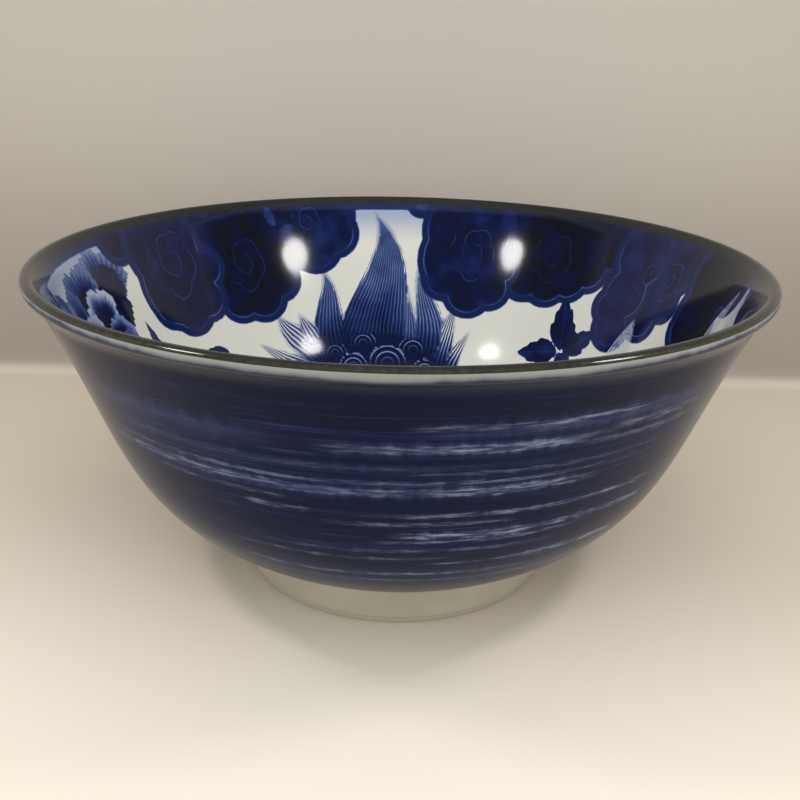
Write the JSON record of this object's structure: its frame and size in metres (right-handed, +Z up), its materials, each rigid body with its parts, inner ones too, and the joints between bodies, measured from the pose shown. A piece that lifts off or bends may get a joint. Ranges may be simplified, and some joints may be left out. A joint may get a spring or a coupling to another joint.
{
  "type": "noodle bowl",
  "caption": "Deep round porcelain noodle bowl with a flared lip, brown rim band, brushed blue outside, blue-printed white inside and a plain foot ring.",
  "frame": {"origin": "on the bowl's axis, at the table plane under the foot's standing edge", "axes": "+Z up along the bowl's axis, +X to the right and +Y away from the viewer of the picture"},
  "size_m": [0.197, 0.197, 0.09],
  "materials": {
    "clay": "fired white porcelain body, hidden under the coats",
    "foot_clay": "bare fired porcelain, matt, slightly grey at the standing edge",
    "printed_white_glaze": "glossy warm white glaze over cobalt blue printed decoration",
    "iron_brown_glaze": "glossy olive-brown iron glaze, thinner and more olive at its lower edge",
    "clear_line_glaze": "glossy clear glaze over white porcelain",
    "brushed_blue_glaze": "glossy dark blue glaze with level brush marks and broken pale streaks",
    "clear_foot_glaze": "glossy clear glaze over cream-white porcelain",
    "clear_base_glaze": "glossy clear glaze over white porcelain"
  },
  "bodies": {
    "root": {"porcelain_wall": "clay", "foot_ring": "foot_clay", "inner_glaze": "printed_white_glaze", "rim_glaze": "iron_brown_glaze", "lip_line_glaze": "clear_line_glaze", "outer_glaze": "brushed_blue_glaze", "foot_glaze": "clear_foot_glaze", "base_glaze": "clear_base_glaze"}
  },
  "joints": []
}
